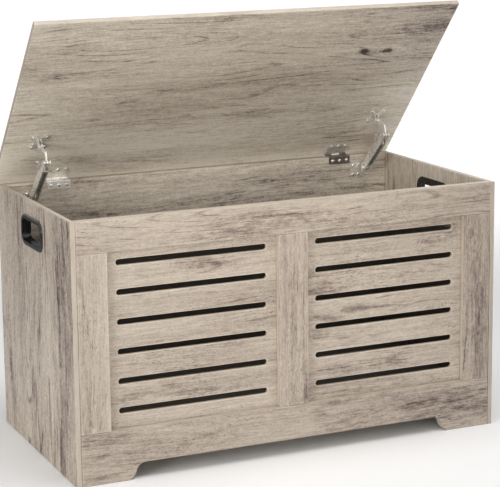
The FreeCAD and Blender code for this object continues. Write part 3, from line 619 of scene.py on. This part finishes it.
def floor_material():
    g = Graph("studio_floor")
    point = g.node("ShaderNodeTexCoord").outputs["Object"]
    cloud = g.noise(point, (0.6, 0.6, 0.6), 1.0)
    colour = g.ramp(cloud, [(0.3, (0.93, 0.93, 0.93, 1)), (0.7, (0.95, 0.95, 0.95, 1))])
    flat = g.stretch(point, (1.0, 1.0, 0.0))
    g.put(g.shader.inputs["Alpha"], g.fade(g.length(flat), *FLOOR_FADE, 1.0, 0.0))
    return g.finish(colour, 0.95)


def make_floor(half):
    data = bpy.data.meshes.new("studio_floor")
    corners = [(-half, -half, 0), (half, -half, 0), (half, half, 0), (-half, half, 0)]
    data.from_pydata([(x, y, z - FLOOR_DROP) for x, y, z in corners], [], [(0, 1, 2, 3)])
    data.materials.append(floor_material())
    made = bpy.data.objects.new("studio_floor", data)
    scene.collection.objects.link(made)


def soft_light(name, place, aim, size, watts, colour=(1, 1, 1), spread=180):
    data = bpy.data.lights.new(name, "AREA")
    data.shape = "DISK"
    data.size = size
    data.energy = watts
    data.color = colour
    data.spread = math.radians(spread)
    made = bpy.data.objects.new(name, data)
    made.visible_camera = False
    made.location = place
    made.rotation_euler = (Vector(aim) - Vector(place)).to_track_quat("-Z", "Y").to_euler()
    scene.collection.objects.link(made)


def make_world():
    """White behind the object. A soft sky lights it, and metal mirrors bright cards with dark gaps."""
    world = bpy.data.worlds.new("studio")
    world.use_nodes = True
    tree = world.node_tree
    tree.nodes.clear()
    new, link = tree.nodes.new, tree.links.new

    def background(strength, stops):
        made, ramp = new("ShaderNodeBackground"), new("ShaderNodeValToRGB")
        made.inputs["Strength"].default_value = strength
        link(height, ramp.inputs[0])
        elements = ramp.color_ramp.elements
        elements[0].position, elements[0].color = stops[0][0], [stops[0][1]] * 3 + [1]
        elements[1].position, elements[1].color = stops[-1][0], [stops[-1][1]] * 3 + [1]
        for position, level in stops[1:-1]:
            elements.new(position).color = [level] * 3 + [1]
        link(ramp.outputs["Color"], made.inputs["Color"])
        return made.outputs[0]

    def choose(flag, no, yes):
        made = new("ShaderNodeMixShader")
        link(flag, made.inputs[0])
        link(no, made.inputs[1])
        link(yes, made.inputs[2])
        return made.outputs[0]

    coords, split = new("ShaderNodeTexCoord"), new("ShaderNodeSeparateXYZ")
    link(coords.outputs["Generated"], split.inputs[0])
    height = split.outputs["Z"]
    rays = new("ShaderNodeLightPath").outputs
    lit = background(SKY, [(0.0, 0.55), (0.6, 1.0)])
    cards = [(0.0, 0.12), (0.10, 0.9), (0.30, 1.0), (0.36, 0.2), (0.46, 0.2), (0.52, 1.0), (1.0, 0.9)]
    mirrored = background(CARDS, cards)
    seen = background(BACKDROP, [(0.0, 1.0), (1.0, 1.0)])
    result = choose(rays["Is Camera Ray"], choose(rays["Is Glossy Ray"], lit, mirrored), seen)
    link(result, new("ShaderNodeOutputWorld").inputs[0])
    scene.world = world


def make_camera():
    """A camera left of the object and above it, with the focal length and framing of a product shot."""
    azimuth, elevation, roll = [math.radians(a) for a in CAMERA_TURN]
    level = math.cos(elevation)
    ahead = Vector((-math.sin(azimuth) * level, math.cos(azimuth) * level, -math.sin(elevation)))
    right = ahead.cross(Vector((0, 0, 1))).normalized()
    up = right.cross(ahead)
    right, up = (
        right * math.cos(roll) + up * math.sin(roll),
        up * math.cos(roll) - right * math.sin(roll),
    )
    data = bpy.data.cameras.new("camera")
    data.sensor_width = CAMERA_SENSOR
    data.lens = CAMERA_LENS
    data.shift_x, data.shift_y = CAMERA_SHIFT
    data.clip_start = 0.05
    data.clip_end = 60
    made = bpy.data.objects.new("camera", data)
    turn = Matrix((right, up, -ahead)).transposed().to_4x4()
    front_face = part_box("front_top_rail")[0][1]
    place = (CAMERA_X, front_face - CAMERA_DISTANCE, CAMERA_HEIGHT)
    made.matrix_world = Matrix.Translation(place) @ turn
    scene.collection.objects.link(made)
    scene.camera = made


make_floor(FLOOR_HALF)
make_world()
soft_light("key", place=(-3.3, -1.9, 1.0), aim=(0, 0, 0.4), size=1.4, watts=62, colour=(1.0, 0.995, 0.98))
soft_light("overhead", place=(0.2, -0.6, 2.6), aim=(0, -0.3, 0), size=2.2, watts=40)
soft_light(
    "lid_fill",
    place=(-0.35, -1.6, 0.64),
    aim=(0.02, 0.15, 0.56),
    size=0.9,
    watts=1.10,
    colour=(1.0, 0.95, 0.87),
    spread=50,
)
make_camera()
scene.view_settings.view_transform = "Standard"
